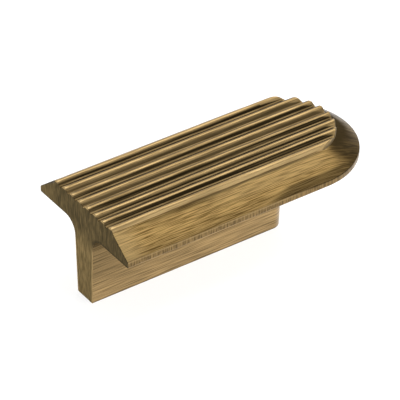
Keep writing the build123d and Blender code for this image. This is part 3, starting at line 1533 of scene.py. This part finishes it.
    def holes(self) -> None:
        """Adds the plain parts of both holes, around their threads."""
        s = self.sizes
        tip = s.thread_core_radius / tan(radians(s.drill_point_angle / 2))
        mouth = [(s.thread_core_radius + s.mouth_chamfer, 0.0), (s.thread_core_radius, s.mouth_chamfer)]
        deep = [
            (s.thread_core_radius, s.thread_depth - s.thread_run_out),
            (s.thread_core_radius, s.thread_depth),
            (s.thread_core_radius / 2, s.thread_depth + tip / 2),
            (0.0, s.thread_depth + tip),
        ]
        turns = [2 * pi * i / self.thread.around for i in range(self.thread.around + 1)]
        for hole in range(s.hole_count):
            centre = (hole - (s.hole_count - 1) / 2) * s.hole_spacing
            for section in (mouth, deep):
                rows = [[(centre + r * cos(t), r * sin(t), z) for t in turns] for r, z in section]
                self.sheet(rows, Zone.BORES)

    def foot_face(self) -> None:
        """Closes the foot between its rim and the mouths of the holes."""
        low = [edge for edge in self.mesh.edges if all(abs(vert.co.z) < WELD for vert in edge.verts)]
        rim = [edge for edge in low if edge.is_boundary]
        filled = bmesh.ops.triangle_fill(self.mesh, use_beauty=True, use_dissolve=False, edges=rim)
        for item in filled["geom"]:
            if isinstance(item, bmesh.types.BMFace):
                item.material_index = Zone.FOOT.value

    def stroke_place(self, zone: Zone, level: bool, point: Vector) -> Flat:
        """Where a point lies in the map of the brush strokes.

        Args:
            zone: Which of the handle's faces the point is on.
            level: Whether that face is level, as the underside and the foot are.
            point: The point in metres.

        Returns:
            Distance along the strokes and across them, in metres.
        """
        s = self.sizes
        if level or zone in (Zone.RIBS, Zone.BORDER):
            return point.x, point.y
        if zone is Zone.SAWN_END:
            return point.z, point.y
        if zone is Zone.BORES:
            return atan2(point.y, abs(point.x) - s.hole_spacing * MM / 2) * MM, point.z
        on_leg = zone is Zone.LEG
        arc_x = (s.leg_arc_x if on_leg else s.plate_arc_x) * MM
        radius = (s.foot_thickness / 2 if on_leg else s.plate_radius) * MM
        past = max(point.x - arc_x, 0.0)
        around = atan2(past, -point.y) * radius + min(point.x - arc_x, 0.0)
        return (around, point.z + hypot(past, point.y)) if on_leg else (point.z, around)

    def finish_mesh(self) -> bpy.types.Mesh:
        """Welds the sheets, sorts out normals and hard edges, and maps the strokes.

        Returns:
            The finished mesh.
        """
        bm = self.mesh
        bmesh.ops.remove_doubles(bm, verts=bm.verts, dist=WELD)
        bmesh.ops.dissolve_degenerate(bm, edges=bm.edges, dist=WELD / 2)
        self.foot_face()
        bmesh.ops.triangulate(bm, faces=[face for face in bm.faces if len(face.verts) > 4])
        bmesh.ops.recalc_face_normals(bm, faces=bm.faces)
        for face in bm.faces:
            face.smooth = True
        for edge in bm.edges:
            flat = {face.material_index for face in edge.link_faces} & {Zone.SAWN_END.value, Zone.FOOT.value}
            turn = edge.calc_face_angle(0.0)
            edge.smooth = turn < SHARP_ANGLE and not (flat and turn > FLAT_EDGE_ANGLE)
        layer = bm.loops.layers.uv.new(STROKE_MAP)
        for face in bm.faces:
            zone, level = Zone(face.material_index), abs(face.normal.z) > LEVEL_NORMAL
            for loop in face.loops:
                loop[layer].uv = self.stroke_place(zone, level, loop.vert.co)
        open_edges = sum(1 for edge in bm.edges if len(edge.link_faces) != 2)
        log.info("open or doubled edges: %d, volume %.1f mm3", open_edges, bm.calc_volume() / MM**3)
        mesh = bpy.data.meshes.new("pull_handle_brass")
        bm.to_mesh(mesh)
        bm.free()
        return mesh

    def build(self) -> bpy.types.Object:
        """Makes the handle as one closed mesh.

        Returns:
            The handle's object, at the origin.
        """
        self.materials = {zone: self.finishes[zone].make() for zone in Zone}
        self.take_in(self.ribs.build(self.materials[Zone.RIBS]), Zone.RIBS)
        self.take_in(self.thread.build(self.materials[Zone.BORES]), Zone.BORES)
        self.outline_rows()
        self.flat_end()
        self.holes()
        return add_object("pull_handle_brass", self.finish_mesh())

    def dress(self, piece: bpy.types.Object) -> None:
        """Gives each zone its finish and puts the piece in the place of the plain solid.

        Args:
            piece: The handle's object.
        """
        for zone in Zone:
            piece.data.materials.append(self.materials[zone])
        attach(piece, BODY)
        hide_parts(CAD_NODE)
        log.info("%s: %d faces", piece.name, len(piece.data.polygons))


@dataclass(frozen=True)
class Softbox:
    """One soft lamp that faces the handle, in metres."""

    name: str
    place: Point
    size: Flat
    radiance: float

    def hang(self) -> None:
        """Puts the lamp in its place."""
        lamp = bpy.data.lights.new(self.name, "AREA")
        lamp.shape = "RECTANGLE"
        lamp.size, lamp.size_y = self.size
        lamp.energy = self.radiance * pi * lamp.size * lamp.size_y
        holder = add_object(self.name, lamp)
        holder.location = self.place
        holder.rotation_euler = Vector(self.place).to_track_quat("Z", "Y").to_euler()


@dataclass
class Studio:
    """Pale floor and soft light around the handle, in metres."""

    floor_size: float = 8.0
    floor_colour: Colour = (0.9, 0.9, 0.9)
    floor_light: float = 2.9
    room_colour: Colour = (1.0, 1.0, 1.0)
    room_light: float = 0.16
    softboxes: tuple[Softbox, ...] = (
        Softbox("overhead_softbox", place=(0.27, 0.06, 0.56), size=(0.5, 0.5), radiance=1.9),
        Softbox("front_softbox", place=(0.38, -0.64, 0.42), size=(0.6, 0.6), radiance=1.0),
        Softbox("back_softbox", place=(0.48, 0.68, 0.32), size=(0.8, 0.6), radiance=0.85),
    )

    def floor(self) -> None:
        """Lays the floor under the foot."""
        half = self.floor_size / 2
        mesh = bpy.data.meshes.new("studio_floor")
        corners = [(-half, -half, 0.0), (half, -half, 0.0), (half, half, 0.0), (-half, half, 0.0)]
        mesh.from_pydata(corners, [], [range(len(corners))])
        piece = add_object("studio_floor", mesh)
        material = bpy.data.materials.new("pale_floor")
        material.use_nodes = True
        graph = Graph(material.node_tree)
        shader = graph.get("ShaderNodeBsdfDiffuse", 0, None, {"Color": (*self.floor_colour, 1.0)})
        graph.node("ShaderNodeOutputMaterial", None, {"Surface": shader})
        mesh.materials.append(material)

    def lights(self) -> None:
        """Hangs the softboxes and lights the floor and the room."""
        for softbox in self.softboxes:
            softbox.hang()
        sun = bpy.data.lights.new("floor_light", "SUN")
        sun.energy = self.floor_light
        sun.use_shadow = False
        add_object("floor_light", sun).visible_glossy = False
        world = bpy.data.worlds.new("room")
        world.use_nodes = True
        background = world.node_tree.nodes["Background"].inputs
        background["Color"].default_value = (*self.room_colour, 1.0)
        background["Strength"].default_value = self.room_light
        bpy.context.scene.world = world

    def build(self) -> None:
        """Sets up floor and light."""
        self.floor()
        self.lights()
        bpy.context.scene.view_settings.view_transform = "Standard"
        log.info("studio is lit")


@dataclass
class PhotoCamera:
    """The camera where the photograph was taken from, in millimetres and degrees."""

    aim: Point = (10.0, 0.0, 15.0)
    turn: float = 35.28
    elevation: float = 35.533
    roll: float = 0.417
    distance: float = 768.6
    lens: float = 268.9
    aim_pixel: Flat = (214.42, 197.10)
    image_size: float = 400.0

    def build(self) -> None:
        """Makes the camera and makes it the scene's own."""
        turn, rise, roll = (radians(angle) for angle in (self.turn, self.elevation, self.roll))
        back = Vector((-sin(turn) * cos(rise), -cos(turn) * cos(rise), sin(rise)))
        right = Vector((cos(turn), -sin(turn), 0.0))
        up = back.cross(right)
        tilted_right = cos(roll) * right + sin(roll) * up
        tilted_up = -sin(roll) * right + cos(roll) * up
        data = bpy.data.cameras.new("photo_camera")
        data.lens = self.lens
        data.sensor_fit = "HORIZONTAL"
        data.shift_x = (self.image_size / 2 - self.aim_pixel[0]) / self.image_size
        data.shift_y = (self.aim_pixel[1] - self.image_size / 2) / self.image_size
        camera = add_object("photo_camera", data)
        axes = Matrix((tilted_right, tilted_up, back)).transposed().to_4x4()
        place = (Vector(self.aim) + back * self.distance) * MM
        camera.matrix_world = Matrix.Translation(place) @ axes
        bpy.context.scene.camera = camera
        log.info("camera %.0f mm from its aim", self.distance)


def main() -> None:
    """Builds the handle, the studio and the camera in order."""
    sizes = HandleSizes()
    finishes: dict[Zone, BrassFinish] = {
        Zone.RIBS: RibFinish("rubbed_rib_brass", sizes),
        Zone.BORDER: BorderFinish("brushed_border_brass", sizes),
        Zone.LIP: LipFinish("cross_brushed_lip_brass", sizes),
        Zone.LEG: LegFinish("brushed_leg_brass", sizes),
        Zone.SAWN_END: SawnFinish("sawn_end_brass", sizes),
        Zone.FOOT: BrassFinish("foot_brass", sizes),
        Zone.BORES: BrassFinish("cut_thread_brass", sizes, metal=FRESHLY_CUT),
    }
    handle = HandleBody(sizes, RibBand(sizes), ScrewThread(sizes), finishes)
    handle.dress(handle.build())
    Studio().build()
    PhotoCamera().build()


if __name__ == "__main__":
    main()
